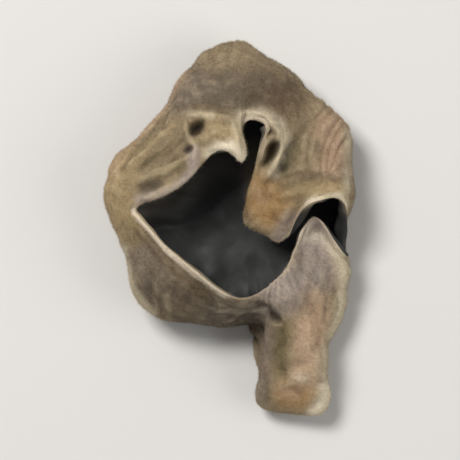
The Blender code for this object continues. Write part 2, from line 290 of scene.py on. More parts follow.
def lined(disc, thickness):
    """Places of the smooth side: the felted side moved in by the thickness, with tight folds eased."""
    lining = disc.copy()
    inside = [vert for vert in lining.verts if not vert.is_boundary]
    for _ in range(LINING_STEPS):
        lining.normal_update()
        for vert, thick in zip(lining.verts, thickness):
            vert.co += vert.normal * (thick / LINING_STEPS)
        smooth(lining, inside, LINING_EASE)
    for _ in range(TANGLE_EASINGS):
        tangled = {vert for face in crossing(lining) for vert in face.verts if not vert.is_boundary}
        if not tangled:
            break
        around_them = {edge.other_vert(vert) for vert in tangled for edge in vert.link_edges}
        smooth(lining, [vert for vert in tangled | around_them if not vert.is_boundary], TANGLE_EASE)
    places = [vert.co.copy() for vert in lining.verts]
    lining.free()
    return places


def put_in_order(skin, number):
    """Sorts points by their number, and edges and faces by their three lowest points."""
    skin.verts.sort(key=lambda vert: vert[number])
    skin.verts.index_update()
    count = len(skin.verts)
    for pieces in (skin.edges, skin.faces):
        pieces.sort(key=lambda piece: np.polyval(sorted(vert.index for vert in piece.verts)[:3], count))


def folded_sheet():
    """The disc folded into the cup and closed by its inner side, with its growth kept as layers."""
    below = np.linspace(0, OUTLINE_AT, RINGS_BELOW + 1)[1:]
    above = np.linspace(OUTLINE_AT, 1, RINGS_ABOVE + 1)[1:]
    disc = flat_disc(COLUMNS, [*below, *above])
    flat = np.array([vert.co[:] for vert in disc.verts])
    reach = np.minimum(np.hypot(flat[:, 0], flat[:, 1]), 1)
    turn = np.degrees(np.arctan2(-flat[:, 1], flat[:, 0])) / 360 * len(SPOKES) % len(SPOKES)
    for vert, place in zip(disc.verts, sheet(turn, reach)):
        vert.co = place
    left = np.clip((1 - reach) / MARGIN_TAPER, 0, 1)
    lining = lined(disc, FLESH_AT_MARGIN + (FLESH - FLESH_AT_MARGIN) * np.sqrt(left))
    grown_at = disc.verts.layers.float_vector.new("grown_at")
    felt = disc.verts.layers.float.new("felt")
    number = disc.verts.layers.int.new("number")
    for place, (vert, spot) in enumerate(zip(disc.verts, flat)):
        vert[number] = place
        vert[felt] = 1
        vert[grown_at] = spot
    for vert in points_among(bmesh.ops.extrude_face_region(disc, geom=disc.faces[:], use_keep_orig=True)):
        vert.co = lining[vert[number]]
        vert[number] += len(lining)
        vert[felt] = 0
    put_in_order(disc, number)
    bmesh.ops.scale(disc, vec=(MM,) * 3, verts=disc.verts[:])
    bmesh.ops.recalc_face_normals(disc, faces=disc.faces[:])
    return disc


disc = folded_sheet()
print("closed sheet:", len(disc.verts), "points,", len(disc.faces), "faces")

# %% [markdown]
# ## Rounding it off
# A Subdivision Surface modifier turns the coarse quads into a smooth skin and rounds the margin. Its result
# is taken as a mesh of its own, because the wrinkles are pressed into the fine points that it made. The
# modifier follows the way each edge runs, so every edge is first turned to run from the lower number of its
# two points to the higher.

# %% The fine skin
SUBDIVISIONS = 2


def read(items, key, width=1, kind=float):
    """A value of all items, such as the place of each point, as an array with that many numbers to a row."""
    values = np.empty(len(items) * width, kind)
    items.foreach_get(key, values)
    return values if width == 1 else values.reshape(-1, width)


def new_object(name, data):
    """An object in the scene, unturned and at the origin."""
    thing = bpy.data.objects.new(name, data)
    bpy.context.scene.collection.objects.link(thing)
    return thing


coarse = bpy.data.meshes.new("coarse_sheet")
disc.to_mesh(coarse)
disc.free()
ends = np.sort(read(coarse.edges, "vertices", 2, np.int32))
coarse.edges.foreach_set("vertices", ends.ravel())
rough = new_object("coarse_sheet", coarse)
rounding = rough.modifiers.new("rounding", "SUBSURF")
rounding.levels = rounding.render_levels = SUBDIVISIONS
skin = bpy.data.meshes.new_from_object(rough.evaluated_get(bpy.context.evaluated_depsgraph_get()))
skin.name = "wood_ear_skin"
bpy.data.objects.remove(rough)
place = read(skin.vertices, "co", 3) / MM
grown_at = read(skin.attributes["grown_at"].data, "vector", 3)
felt = read(skin.attributes["felt"].data, "value")
edges = read(skin.edges, "vertices", 2, int)
print("fine skin:", len(skin.vertices), "points")

# %% [markdown]
# ## Easing the knots
# Where the spokes bunch up beside the cleft the skin comes out knotted, which dried flesh never is. Each
# point there is moved to the average of itself and its neighbours, again and again, and the whole skin is
# eased a little too. A Smooth modifier does the same, but numpy can keep it to the places that need it.

# %% Ease the skin
EASINGS = 2
KNOTS_ABOVE = 5  # mm: the bottom under them stays as it is


def eased(values, rounds):
    """Values at the points, averaged with those of their neighbours so many times."""
    ends = np.concatenate((edges, edges[:, ::-1]))
    count = np.bincount(ends[:, 0], minlength=len(values))
    for _ in range(rounds):
        columns = [np.bincount(ends[:, 0], column[ends[:, 1]], len(values)) / count for column in values.T]
        values = (values + np.stack(columns, axis=1)) / 2
    return values


# Knots: where they lie as seen from above, how wide they are, and how many times they are eased.
KNOTS = ((((1.8, 10.4), (1.8, 12.4)), 0.8, 24), (((3.4, 9.4), (4.0, 8.8), (4.6, 8.0)), 0.8, 12))
place = eased(place, EASINGS)
for path, width, rounds in KNOTS:
    near = nearness(place, path, width) * (place[:, 2] > KNOTS_ABOVE)
    place += near[:, None] * (eased(place, rounds) - place)
print(len(KNOTS), "knots eased, and the top is at", place[:, 2].max().round(2), "mm")

# %% [markdown]
# ## Wrinkles of drying
# As the flesh loses its water, the felted side creases: in pleats that run from the bottom to the margin,
# and everywhere in a soft crumple. The few wrinkles that show best are drawn one by one, along curves seen
# from above. They could be sculpted by hand, but a table can be read and changed.

# %% Wrinkles, one by one
# The points that draw each curve as seen from above, its width, and its depth, which a ridge has below 0.
WRINKLES = (
    (((-3.6, 8.3), (-2.9, 9.1), (-2.4, 10.0)), 0.46, 0.30),  # pit beside the stub
    (((-10.6, 4.8), (-8.0, 8.0), (-5.6, 10.8)), 0.45, 0.22),  # pleats left of the stub
    (((-9.8, 5.2), (-7.6, 7.4), (-5.0, 9.4)), 0.40, -0.22),
    (((-8.8, 4.8), (-6.6, 6.4), (-4.2, 8.0)), 0.50, 0.24),
    (((-7.6, 4.4), (-5.4, 5.2), (-3.6, 6.2)), 0.50, -0.14),
    (((-8.6, 3.0), (-7.4, 3.2), (-6.0, 3.9)), 0.60, 0.14),
    (((-8.8, 1.9), (-6.2, 2.4), (-3.4, 4.2)), 0.40, -0.20),
    (((-4.3, 6.6), (-3.8, 7.0), (-3.3, 7.2)), 0.38, 0.36),
    (((-4.0, 10.0), (-4.2, 8.4), (-2.6, 6.8), (-3.4, 5.0)), 0.42, -0.24),
    (((-3.8, 10.4), (-1.6, 10.4), (1.2, 9.8)), 0.42, -0.26),  # upper edge of the stub
    (((-4.6, 11.2), (-1.2, 11.4), (1.4, 10.8)), 0.60, 0.16),
    (((0.7, 9.8), (1.4, 8.2), (1.4, 5.6)), 0.36, -0.26),
    (((-0.8, 7.9), (0.1, 7.4), (0.5, 7.0)), 0.40, 0.20),
    (((-1.8, 6.6), (-0.2, 7.2), (1.2, 6.4)), 0.34, -0.22),
    (((1.2, 10.4), (3.4, 10.9), (6.0, 9.6), (6.2, 6.8), (4.2, 4.0)), 0.50, -0.42),  # crest of the curled lip
    (((5.4, 7.8), (4.8, 6.8), (3.8, 5.2)), 0.42, 0.38),
    (((3.3, 8.9), (4.1, 8.8), (5.0, 8.2)), 0.36, 0.40),
    (((4.9, 8.3), (3.9, 7.6), (3.2, 5.6)), 0.34, -0.26),
    (((6.2, 6.0), (5.8, 5.2), (5.2, 4.4)), 0.40, 0.16),
    (((3.0, 3.4), (5.2, 3.4), (8.6, 4.8)), 0.60, 0.16),  # over the flap
    (((4.8, 2.2), (7.4, 3.0), (11.4, 3.2)), 0.60, -0.24),
    (((4.0, -0.8), (5.0, 0.4), (6.2, 1.6)), 0.45, 0.14),
    (((-9.0, -0.2), (-5.8, -4.4), (-0.6, -8.6)), 0.34, 0.22),  # under the rim of the front wall
    (((-8.4, -4.4), (-5.6, -7.6), (-2.2, -9.0)), 0.60, 0.12),
    (((-2.4, -8.6), (1.0, -9.2), (4.0, -8.8)), 0.30, 0.16),
    (((-1.6, -9.4), (1.4, -9.8), (3.8, -9.6)), 0.30, 0.12),
    (((2.8, -8.2), (4.6, -9.2), (5.6, -10.4)), 0.55, 0.42),  # root of the lobe
    (((5.8, -10.2), (5.2, -13.0), (5.9, -16.2)), 0.85, 0.34),
    (((8.4, -9.4), (8.4, -13.0), (8.9, -16.6)), 0.85, -0.26),
    (((10.3, -12.0), (9.6, -14.6), (10.2, -17.8)), 0.45, -0.16),
    (((4.8, -17.4), (6.4, -16.4), (7.8, -17.6)), 0.45, 0.14),
    (((8.7, -1.0), (8.4, -4.6), (7.4, -8.4)), 0.65, -0.22),  # down the strip
    (((10.2, -3.2), (10.2, -6.0), (10.4, -8.6)), 0.60, 0.16),
    (((-2.8, 14.4), (1.4, 14.8), (5.6, 12.4)), 1.10, 0.16),  # over the crown of the hood
    (((7.2, 12.4), (8.8, 9.6), (8.8, 6.2)), 0.90, 0.20),
    (((-10.9, 6.2), (-10.8, 3.4), (-10.2, 1.2)), 0.60, -0.18),  # left edge
)
print(len(WRINKLES), "wrinkles")

# %% [markdown]
# ## What makes a crease
# The size of a noise value has narrow valleys where it passes zero, which is how the creases of dried flesh
# look. A drawn wrinkle dies out at its ends and has low banks, as a real crease pushes the flesh beside it
# up.

# %% Creases and wrinkles
CREASE_SOFTNESS = 0.06
WRINKLE_STEPS = 11
WRINKLE_TIP = 0.4  # its width at its ends, as a share of its width in the middle
WRINKLE_FADE = 0.6
BANK_HEIGHT = 0.25
BANK_WIDTH = 2.2


def noise_at(points):
    """Blender's noise at each of the points."""
    return np.array([noise.noise(Vector(point)) for point in points])


def creases(points):
    """The size of a noise at the points: rounded humps with narrow valleys between them."""
    return np.hypot(noise_at(points), CREASE_SOFTNESS)


def wrinkle(points, path, width):
    """How much of a wrinkle is at the points: 1 in its middle, 0 at its ends and below 0 on its banks."""
    curve = bezier([np.array(point) for point in path], np.linspace(0, 1, WRINKLE_STEPS + 1))
    away, share = np.full(len(points), np.inf), np.zeros(len(points))
    for step, (start, end) in enumerate(zip(curve, curve[1:])):
        run = end - start
        along = np.clip((points - start) @ run / (run @ run), 0, 1)
        gap = np.linalg.norm(points - start - along[:, None] * run, axis=1)
        share = np.where(gap < away, (step + along) / WRINKLE_STEPS, share)
        away = np.minimum(away, gap)
    fade = np.sin(np.pi * share)
    off = away / (width * (WRINKLE_TIP + (1 - WRINKLE_TIP) * fade))
    bank = BANK_HEIGHT * np.exp(-((off / BANK_WIDTH) ** 2))
    return fade**WRINKLE_FADE * ((1 + BANK_HEIGHT) * np.exp(-(off**2)) - bank)


across = np.array(((0, 0), (0, 1), (0, 2)))
print("a wrinkle 0, 1 and 2 widths off:", wrinkle(across, ((-9, 0), (9, 0)), 1).round(2))

# %% [markdown]
# ## Pressing them in
# The pleats read the flat disc, so that they gather where the sheet gathers, and the crumple reads real
# millimetres. Both bend the two sides together, so the sheet stays as thick as it was. Only the finest
# crumple of the felt and the veins of the smooth side are in one side alone. The felt sinks a little, to
# leave room for the hair. A Displace modifier could crumple the sheet too, but it can't read the flat disc.

# %% Press the wrinkles in
PLEAT_CELLS = (6, 3)  # cells of noise: to the radius of the ring it is read on, and out to the margin
PLEAT_DEPTHS = (  # how far out, and mm of depth there
    (0, 0.12, 0.27, 0.42, 0.55, 0.7, 1),
    (0, 0, 0.9, 0.35, 0.55, 0.32, 0.28),
)
MIDDLE = 0.01  # least share of the way out that a pleat is worked out with
DRIFT = (5, 0.8)  # size in mm, and how many cells the pleats drift aside
CRUMPLES = ((6.5, 0.8), (3.0, 0.34))  # size and depth in mm
FINE_CRUMPLE = (1.3, 0.12)
VEINS = (1.8, 0.06)
SWAY = (1.6, 0.25)
DRIFT_AT, VEINS_AT, SWAYS_AT = 20, 7, (0, 30)  # where in the noise each is read, so that no two are alike
HAIR_ROOM = 0.12
WRINKLES_FROM = 3  # mm over the bottom, and over how many more the wrinkles grow to their full depth
WRINKLES_GROW = 2
MARGIN_WIDTH = 0.04  # share of the disc over which they flatten to the margin, and how much is left there
MARGIN_LEFT = 0.3

reach = np.minimum(np.hypot(grown_at[:, 0], grown_at[:, 1]), 1)
way_out = grown_at[:, :2] / np.maximum(reach, MIDDLE)[:, None]
drift = noise_at(place / DRIFT[0] + DRIFT_AT)[:, None] * DRIFT[1]
pleats = creases(np.column_stack((way_out * PLEAT_CELLS[0], reach * PLEAT_CELLS[1])) + drift)
bend = pleats * np.interp(reach, *PLEAT_DEPTHS)
for size, depth in CRUMPLES:
    bend += depth * creases(place / size)
bend -= bend.mean() + HAIR_ROOM
seen_at = place[:, :2] + SWAY[1] * np.array([noise_at(place / SWAY[0] + far) for far in SWAYS_AT]).T
upper = np.clip((place[:, 2] - WRINKLES_FROM) / WRINKLES_GROW, 0, 1)
upper *= np.clip((1 - reach) / MARGIN_WIDTH, MARGIN_LEFT, 1)
bend -= upper * sum(depth * wrinkle(seen_at, path, width) for path, width, depth in WRINKLES)
grain = felt * FINE_CRUMPLE[1] * creases(place / FINE_CRUMPLE[0])
grain += (1 - felt) * VEINS[1] * creases(place / VEINS[0] + VEINS_AT)
height = bend * (2 * felt - 1) + grain
place += read(skin.vertices, "normal", 3) * height[:, None]
place[:, 2] = np.maximum(place[:, 2], 0)
skin.vertices.foreach_set("co", (place * MM).ravel())
skin.update()
print("wrinkles from", height.min().round(3), "to", height.max().round(3), "mm")

# %% [markdown]
# ## Worn ridges and shaded creases
# Ridges are rubbed pale, and creases keep some dust and are darkened with painted shade, so the colours need
# to know which is which. Each point is compared with the average of the points round it: it is in a crease
# where it lies under that average.

# %% Hollows, seen near and far
outward = read(skin.vertices, "normal", 3)


def hollow(rounds, depth):
    """How far each point lies under the average of those round it, counted in that depth in mm."""
    return ((eased(place, rounds) - place) * outward).sum(axis=1) / depth


crease, valley = hollow(6, 0.03), hollow(60, 0.25)
print("crease", np.percentile(crease, (5, 95)).round(2), "valley", np.percentile(valley, (5, 95)).round(2))

# %% [markdown]
# ## Where which colour lies
# Felt isn't one colour: it is ash grey on the crown of the hood, rusty where the hair has worn off the
# flap, clay down the lobe, nearly bone on the stub and the curled lip, rose grey on the strip and umber on
# the front wall. Some stretches are painted light and shade: the cream of the left edge and the pale lines
# along the outline are painted highlight, the clay on the ridge of the lobe is partly painted highlight,
# the dark in the troughs of the pleats and the lobe is painted shade, and the umber and grey of the front
# wall, which faces away from the light, is partly painted shade. An image could be painted, but a short
# table says it in millimetres. Each stretch lies along a path seen from above, and fades out into its
# neighbours and down the walls. The rest is tan, and darker on the bottom.

# %% Colours of the felt
FELTS = {
    "tan": "#87765c",
    "ash": "#544c43",
    "umber": "#4b4136",
    "bark": "#4c3a2a",
    "moss": "#5f553c",
    "olive": "#76694a",
    "cream": "#9d8864",
    "bone": "#c2b69c",
    "rose": "#a0938a",
    "dusk": "#73665a",
    "fawn": "#a1866e",
    "clay": "#b89c80",
    "rust": "#a27e4f",
    "chalk": "#d8ccb4",
    # near-black painted shade for pits and deep grooves
    "recess_shade": "#1a140d",
}
# The colour of each stretch, its path, and how far it reaches to its sides.
STRETCHES = (
    ("ash", ((-1.6, 12.8), (3.0, 13.4)), 2.0),  # hood
    ("bark", ((3.6, 13.0), (5.4, 12.2)), 1.7),
    ("dusk", ((-4.0, 11.8), (-3.2, 13.2)), 1.3),
    # painted highlight along the hood's left outline
    ("clay", ((-4.6, 14.6), (-7.0, 11.0), (-10.2, 7.4), (-11.6, 4.6)), 0.7),
    ("tan", ((-0.6, 16.0), (3.4, 16.2)), 1.8),
    ("fawn", ((10.6, 9.2), (10.8, 5.6)), 1.3),
    # painted highlight: cream over the left edge, where the light from the upper left falls
    ("cream", ((-10.9, 6.2), (-11.4, 3.6), (-10.6, 0.8)), 2.0),  # left edge
    ("olive", ((-7.0, 4.6), (-4.4, 5.5)), 0.40),  # pleats
    # painted shade in the trough between the pleats
    ("umber", ((-8.0, 3.1), (-7.0, 3.3)), 0.6),
    ("rose", ((-8.6, 2.0), (-5.0, 2.8), (-3.2, 4.6), (-3.2, 6.8)), 0.42),
    ("cream", ((-2.6, 9.9), (-0.8, 8.4), (0.8, 8.2)), 1.2),  # stub
    ("bone", ((-3.4, 10.4), (-1.6, 10.2)), 0.4),
    ("bone", ((-1.6, 6.6), (0.4, 7.0), (1.4, 5.8), (1.6, 7.8), (1.0, 9.2)), 0.55),
    ("bone", ((1.6, 10.2), (3.4, 10.6), (5.0, 9.6), (5.8, 7.8), (5.4, 6.0), (4.6, 4.6)), 0.5),  # lip
    ("moss", ((5.2, 7.4), (4.0, 5.6)), 0.45),
    ("moss", ((6.6, 7.2), (5.8, 5.0)), 0.6),
    ("rust", ((3.2, 2.6), (4.6, 1.0)), 1.6),  # flap
    ("dusk", ((5.2, -1.6), (6.2, 0.2)), 0.8),
    ("cream", ((6.6, 2.9), (9.0, 3.1), (11.4, 2.9)), 0.7),
    ("bone", ((8.4, 1.9), (11.4, 2.5), (11.8, 1.6)), 0.35),
    # painted highlight along the hood's right outline
    ("bone", ((12.0, 3.0), (12.1, 8.6)), 0.42),
    ("olive", ((-9.4, -0.6), (-9.0, -1.8)), 0.7),  # front wall
    # partly the front wall's own colour, partly painted shade, as the wall faces away from the light
    ("dusk", ((-8.2, -3.8), (-7.0, -6.0)), 1.4),
    ("umber", ((-6.8, -6.8), (-3.0, -8.4)), 1.9),
    ("ash", ((-1.0, -9.4), (3.0, -9.4)), 1.5),
    # painted highlight along the outline of the front wall
    ("bone", ((-10.2, -3.0), (-9.4, -6.6), (-7.4, -9.3)), 0.40),
    ("rose", ((8.6, -1.6), (8.8, -5.0), (5.2, -7.2)), 1.7),  # strip
    ("clay", ((8.6, -7.6), (9.0, -10.2)), 0.9),
    # painted highlight along the strip's outline
    ("bone", ((10.8, -2.8), (11.9, -5.0), (11.7, -9.0), (10.4, -12.0)), 0.6),
    # partly the lobe's own colour, partly painted highlight on its ridge
    ("clay", ((8.4, -10.8), (8.2, -15.2)), 1.45),  # lobe
    # painted shade in the trough down the lobe
    ("olive", ((5.8, -10.8), (5.3, -14.8)), 0.8),
    ("dusk", ((3.9, -11.4), (3.8, -14.6), (3.2, -17.6)), 0.8),
    ("rust", ((6.0, -17.2), (7.8, -17.6)), 1.0),
    # painted highlight along the lobe's outline
    ("bone", ((9.9, -13.0), (9.6, -14.6), (10.2, -17.0), (9.2, -19.0)), 0.6),
)
print(len(FELTS), "colours in", len(STRETCHES), "stretches")

# %% [markdown]
# ## Spots, rubbed margin and painted light
# Over the stretches lie smaller marks: painted shade in the pits, in the grooves and folds, under the rim,
# under the stub and at the roots of folds, painted highlight on the crest of the flap and a pleat, and felt
# rubbed to chalk at the tips. The margin is rubbed pale in places, and parts of the smooth side are painted
# paler, as painted light inside the cup.

# %% Marks on the two sides
# The colour of each spot, its path, how far it reaches to its sides, and how strong it is.
SPOTS = (
    # painted shade in and round the pits beside the stub
    ("recess_shade", ((-3.1, 8.8), (-2.6, 9.2)), 0.62, 1.00),  # in the pits beside the stub
    ("umber", ((-3.8, 8.0), (-3.2, 8.6)), 0.40, 0.50),
    ("recess_shade", ((-3.9, 6.9), (-3.7, 7.0)), 0.38, 0.80),
    # painted shade in the left corner of the mouth
    ("recess_shade", ((-9.2, 1.1), (-8.9, 1.0)), 0.40, 0.60),
    # painted shade under the rim of the front wall
    ("bark", ((-8.8, -1.2), (-5.7, -4.6), (-1.3, -8.2)), 0.30, 0.55),  # under the rim of the front wall
    # painted shadow under the lower edge of the stub
    ("umber", ((-1.4, 6.3), (0.4, 6.4)), 0.25, 0.50),
    ("chalk", ((-0.8, 7.1), (0.5, 7.3), (1.6, 6.2)), 0.55, 0.95),  # rubbed tip of the stub
    # painted shade in the groove of the lip and in the dip behind it
    ("recess_shade", ((5.1, 7.2), (4.3, 5.9)), 0.35, 0.40),
    ("recess_shade", ((5.9, 5.3), (5.6, 4.9)), 0.40, 0.50),
    # painted shade in the fold over the flap
    ("umber", ((5.6, 3.1), (8.4, 4.4), (9.6, 4.6)), 0.35, 0.35),
    ("umber", ((9.0, 7.3), (9.0, 7.0)), 0.50, 0.30),
    # painted shade in the crease at the root of the lobe
    ("recess_shade", ((4.5, -9.1), (5.1, -9.7)), 0.50, 0.70),  # root of the lobe
    ("chalk", ((10.0, -16.8), (9.8, -18.0), (8.8, -19.2)), 0.75, 0.90),
    ("chalk", ((7.2, -15.6), (7.8, -15.7)), 0.50, 0.40),
    ("clay", ((5.6, -16.8), (6.8, -17.3)), 0.80, 0.60),
    # painted highlight on the crest of the flap
    ("clay", ((3.1, 2.8), (3.7, 1.9)), 0.60, 0.30),  # crest of the flap
    # painted shade where the flap turns down into the cup
    ("bark", ((2.1, 4.0), (1.7, 1.8), (2.0, 0.2)), 0.40, 0.50),
    ("ash", ((8.8, 0.4), (8.7, -0.3)), 0.60, 0.50),  # point of the strip
    ("chalk", ((7.6, -1.7), (9.4, -1.7), (10.8, -3.2)), 0.55, 0.45),
    # painted shade in the grooves between the pleats, and a painted highlight on the ridge between them
    ("moss", ((-10.4, 4.6), (-8.0, 7.9), (-5.6, 10.6)), 0.32, 0.40),  # between the pleats
    ("cream", ((-9.6, 5.4), (-7.6, 7.5), (-5.2, 9.4)), 0.30, 0.50),
    ("moss", ((-8.7, 4.9), (-6.6, 6.5), (-4.4, 7.9)), 0.32, 0.40),
    ("umber", ((6.9, -16.7), (7.3, -17.0)), 0.45, 0.25),
    ("rose", ((5.2, -1.6), (6.2, 0.2)), 0.70, 0.30),  # tip of the flap
    ("rose", ((-0.6, -9.2), (3.2, -9.2)), 1.00, 0.08),
)
# Stretches of the margin that are rubbed pale: the path, how far to its sides that shows, and how pale it is.
RUBBED = (
    (((-9.0, 0.6), (-7.0, -1.9), (-4.4, -4.5), (-1.8, -6.6), (-0.4, -7.6)), 0.7, 1.0),
    (((1.6, 9.8), (3.4, 10.2), (4.6, 9.0), (4.0, 6.6)), 0.6, 0.7),
    (((11.2, 2.6), (12.1, 2.2), (12.3, 1.2)), 0.6, 0.8),
    (((8.5, 1.4), (8.6, 0.2), (8.4, -1.0)), 0.7, 0.5),
    (((-1.4, 6.4), (0.4, 6.6), (1.6, 5.4)), 0.5, 0.6),
    (((6.0, 0.4), (7.2, 1.6), (9.0, 2.3)), 0.5, 0.4),
)
# Stretches of the smooth side painted paler as painted light: the path, how far to its sides, and how strong
# it is.
PAINTED_LIGHTS = (
    (((-8.4, 1.0), (-4.6, 3.4), (-0.8, 5.8)), 1.5, 0.22),
    (((2.6, 7.2), (2.4, 5.2), (2.6, 3.2)), 0.9, 0.55),
)
print(len(SPOTS), "spots,", len(RUBBED), "rubbed stretches of the margin,", len(PAINTED_LIGHTS), "of bloom")

# %% [markdown]
# ## Laying the colours on
# Hex codes are sRGB, as a screen shows them, and Blender mixes linear light, so one function turns them.
# Each point then takes the colours of the stretches near it, by how near they are, and the spots cover
# that. The results are kept on the points as attributes, which a material can read and the hair can copy.

# %% Mix the colours
GROUND = 0.3  # how strongly the ground shows through the stretches
WALLS_FROM, WALLS_GROW = 0.30, 0.14  # how far out the stretches begin, and how soon they are strong
BOTTOM_TO, BOTTOM_FADE, BOTTOM_DARK = 0.40, 0.15, 0.6  # how far out it is darker, how soon, and how dark
MOTTLE_SIZE, MOTTLE_AT = 4, 40  # mm, and where in the noise it is read
RIM_FROM, RIM_GROW = 0.95, 0.04


def linear(code):
    """A colour such as #8e7e65 in linear light, with an alpha of 1."""
    shares = [int(code[k : k + 2], 16) / 255 for k in (1, 3, 5)]
    return tuple(s / 12.92 if s <= 0.04045 else ((s + 0.055) / 1.055) ** 2.4 for s in shares) + (1.0,)


def store(mesh, name, values):
    """Keeps an array on the points: a number each, or a colour each where it has four columns."""
    kind, key = ("FLOAT", "value") if values.ndim == 1 else ("FLOAT_COLOR", "color")
    mesh.attributes.new(name, kind, "POINT").data.foreach_set(key, values.ravel())


paints = {name: np.array(linear(code)) for name, code in FELTS.items()}
mottle = noise_at(place / MOTTLE_SIZE + MOTTLE_AT)
dark = np.clip((BOTTOM_TO - reach) / BOTTOM_FADE, 0, 1) * np.clip(BOTTOM_DARK + mottle, 0, 1)
ground = paints["tan"] + (paints["umber"] - paints["tan"]) * dark[:, None]
weights = np.array([nearness(place, path, size) for _, path, size in STRETCHES])
weights *= np.clip((reach - WALLS_FROM) / WALLS_GROW, 0, 1)
colours = np.array([paints[name] for name, _, _ in STRETCHES])
tone = (weights.T @ colours + GROUND * ground) / (weights.sum(axis=0) + GROUND)[:, None]
for name, path, size, strength in SPOTS:
    share = strength * nearness(place, path, size) * (reach > OUTLINE_AT)
    tone += share[:, None] * (paints[name] - tone)
rubbed = sum(pale * nearness(place, path, size) for path, size, pale in RUBBED)
rim = np.clip((reach - RIM_FROM) / RIM_GROW, 0, 1) * np.clip(rubbed, 0, 1)
# painted light on the smooth side, where the inside of the cup would be lit
painted_light = sum(thick * nearness(place, path, size) for path, size, thick in PAINTED_LIGHTS)
felt_values = {"crease": crease, "valley": valley, "rim": rim, "reach": reach}
for name, values in {**felt_values, "tone": tone, "painted_light": painted_light}.items():
    store(skin, name, values)
print("mean of the felt in linear light:", tone[:, :3].mean(axis=0).round(3))

# %% [markdown]
# ## One way to add a node
# A procedural material is a small network, and most of its lines would say the same thing: make a node, set
# its values, link its inputs. One function does all three. The Principled BSDF is in a new material from
# the start, so only its inputs are set.

# %% Adding a node
COLOURS = {"data_type": "RGBA"}
PRODUCT = {"data_type": "RGBA", "blend_type": "MULTIPLY"}
PER_MM = 1000  # Object coordinates are in metres, so a pattern of so many mm has this over them as its scale


def join(material, node, inputs):
    """Links or sets the inputs of a node, by name with _ for a space, or by number as in _6."""
    for name, value in inputs.items():
        socket = node.inputs[int(name[1:])] if name[1:].isdigit() else node.inputs[name.replace("_", " ")]
        if isinstance(value, bpy.types.NodeSocket):
            material.node_tree.links.new(value, socket)
        else:
            socket.default_value = value


def add(material, kind, settings=(), **inputs):
    """Adds a node, sets what it has, and links or sets its inputs."""
    node = material.node_tree.nodes.new("ShaderNode" + kind)
    for name, value in dict(settings).items():
        setattr(node, name, value)
    join(material, node, inputs)
    return node


def new_material(name):
    """A material with a Principled BSDF, which every new one has."""
    material = bpy.data.materials.new(name)
    material.use_nodes = True
    return material


def shade(material, **inputs):
    """Links or sets the inputs of the material's Principled BSDF, and hands the material back."""
    join(material, material.node_tree.nodes["Principled BSDF"], inputs)
    print(material.name, "of", len(material.node_tree.nodes), "nodes")
    return material


print("a pattern of 2 mm has a scale of", PER_MM / 2)

# %% [markdown]
# ## Dried felt
# The outer side is dried fungus flesh under a matted nap of hair. Felt scatters the light between its
# hairs, so to the eye it is dull, never shiny, with a soft pale sheen where it turns away. It is paler
# along the ridges and the rubbed margin, and dark brown in the creases, with dust and painted shade there.
# Faint zones of growth run round it, and dust and wear mottle it. Matted hair is too fine to show here, so
# its bumps are drawn coarser.

# %% The felted side
# What a value of the skin turns the felt to: from which value, up to which, by how much at most, whether the
# colour covers it or darkens it, and the colour.
FELT_LAYERS = (
    ("crease", -0.3, -1.8, 0.20, COLOURS, "#c9b694"),
    # the two layers that darken the creases and valleys are painted shade, with some dust
    ("crease", 0.3, 3.0, 0.45, PRODUCT, "#8b7a6c"),
    ("valley", 0.6, 2.4, 0.50, PRODUCT, "#6f6154"),
    ("valley", -0.6, -2.0, 0.12, COLOURS, "#c4b08c"),
    ("rim", 0.0, 1.0, 0.75, COLOURS, "#d2c3ae"),
)
SHEET_RADIUS = 24.2  # mm from the middle to the margin along the sheet, about
ZONE, WEAR, FLECK, MATTING = 1.1, 2.6, 0.2, 0.25  # mm


def felt_colour(material):
    """The felt's colour at each point: its tone, what the skin's values turn it to, and its mottling."""
    spot = add(material, "TexCoord").outputs["Object"]
    reach = add(material, "Attribute", {"attribute_name": "reach"}).outputs["Fac"]
    base = add(material, "Attribute", {"attribute_name": "tone"}).outputs["Color"]
    for name, start, end, most, blend, code in FELT_LAYERS:
        value = add(material, "Attribute", {"attribute_name": name}).outputs["Fac"]
        share = add(material, "MapRange", Value=value, From_Min=start, From_Max=end, To_Max=most).outputs[0]
        base = add(material, "Mix", blend, _0=share, _6=base, _7=linear(code)).outputs[2]
    rings = SHEET_RADIUS / ZONE
    zones = add(material, "TexNoise", {"noise_dimensions": "1D"}, W=reach, Scale=rings, Detail=2)
    wear = add(material, "TexNoise", Vector=spot, Scale=PER_MM / WEAR, Detail=4, Roughness=0.6)
    fleck = add(material, "TexNoise", Vector=spot, Scale=PER_MM / FLECK, Detail=2, Roughness=0.7)
    for pattern, contrast in ((zones, 0.06), (wear, 0.12), (fleck, 0.12)):
        fac, least, most = pattern.outputs["Fac"], 1 - contrast, 1 + contrast
        light = add(material, "MapRange", Value=fac, From_Min=0.3, From_Max=0.7, To_Min=least, To_Max=most)
        grey = add(material, "CombineColor", **dict.fromkeys(("Red", "Green", "Blue"), light.outputs[0]))
        base = add(material, "Mix", PRODUCT, _0=1.0, _6=base, _7=grey.outputs[0]).outputs[2]
    return base


def dried_felt():
    """The felted flesh: rough, hardly specular, with a sheen, and bumpy with matted hair."""
    material = new_material("dried_felt")
    spot = add(material, "TexCoord").outputs["Object"]
    matted = add(material, "TexNoise", Vector=spot, Scale=PER_MM / MATTING, Detail=3, Roughness=0.6)
    bump = add(material, "Bump", Strength=0.5, Distance=0.05 * MM, Height=matted.outputs["Fac"]).outputs[0]
    base = felt_colour(material)
    sheen = {"Sheen_Weight": 0.2, "Sheen_Roughness": 0.5, "Sheen_Tint": linear("#e3d6bd")}
    return shade(material, Base_Color=base, Roughness=0.9, Specular_IOR_Level=0.15, Normal=bump, **sheen)


felt_finish = dried_felt()

